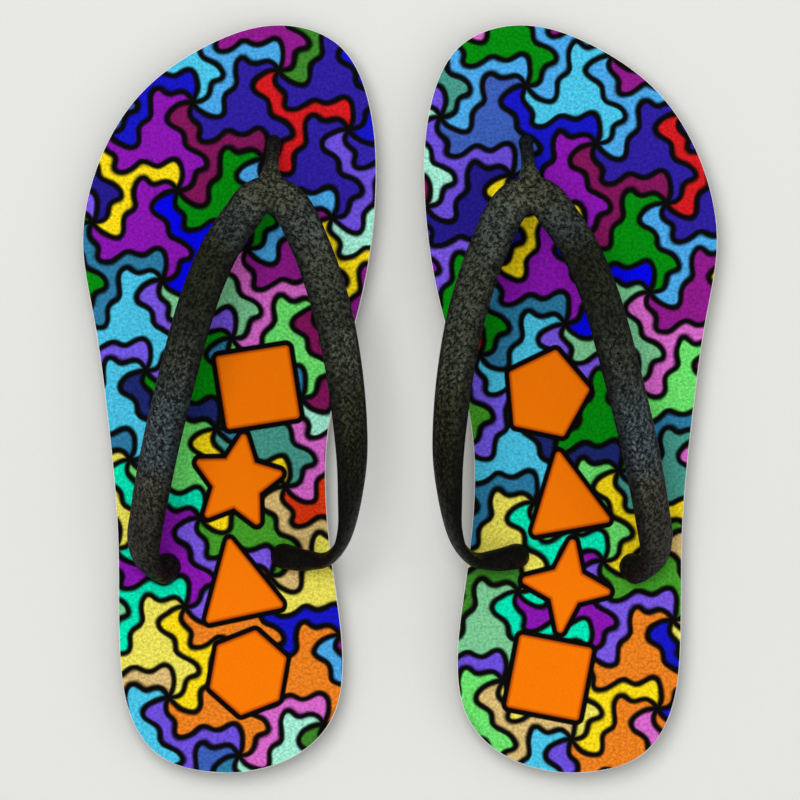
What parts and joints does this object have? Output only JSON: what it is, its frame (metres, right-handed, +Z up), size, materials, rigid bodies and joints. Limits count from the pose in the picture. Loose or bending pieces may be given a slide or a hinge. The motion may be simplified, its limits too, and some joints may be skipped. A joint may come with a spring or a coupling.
{
  "type": "pair of thong sandals",
  "caption": "Flat thong sandals with a colourful printed cloth top, white foam footbed, black rubber outsole and a moulded Y-shaped strap with a toe post.",
  "frame": {"origin": "on the ground, at the centre of the pair's bounding box", "axes": "+Z up, +Y towards the toes, +X towards the wearer's right; the left sandal is at -X and the right at +X"},
  "size_m": [0.2376, 0.28, 0.062],
  "materials": {
    "printed_cloth": "fine woven cloth with a many-coloured print, matte",
    "foam": "white closed-cell foam, matte",
    "outsole_rubber": "black sponge rubber with a zigzag tread",
    "strap_rubber": "charcoal moulded rubber with a fine grained face, soft sheen"
  },
  "bodies": {
    "left_front": {"left_print_sheet_front": "printed_cloth", "left_footbed_front": "foam", "left_outsole_front": "outsole_rubber", "left_strap": "strap_rubber"},
    "left_heel": {"left_print_sheet_heel": "printed_cloth", "left_footbed_heel": "foam", "left_outsole_heel": "outsole_rubber"},
    "right_front": {"right_print_sheet_front": "printed_cloth", "right_footbed_front": "foam", "right_outsole_front": "outsole_rubber", "right_strap": "strap_rubber"},
    "right_heel": {"right_print_sheet_heel": "printed_cloth", "right_footbed_heel": "foam", "right_outsole_heel": "outsole_rubber"}
  },
  "joints": [
    {"name": "left_heel_flex", "type": "hinge", "parent": "left_front", "child": "left_heel", "pos_m": [-0.0628, -0.076, 0.016], "axis": [-1, 0, 0], "range_deg": [0, 50], "stiffness_Nm_per_rad": 0.6},
    {"name": "right_heel_flex", "type": "hinge", "parent": "right_front", "child": "right_heel", "pos_m": [0.0628, -0.076, 0.016], "axis": [-1, 0, 0], "range_deg": [0, 50], "stiffness_Nm_per_rad": 0.6},
    {"name": "right_step", "type": "slide", "parent": "left_front", "child": "right_front", "axis": [0, 1, 0], "range_m": [-0.15, 0.15]}
  ]
}
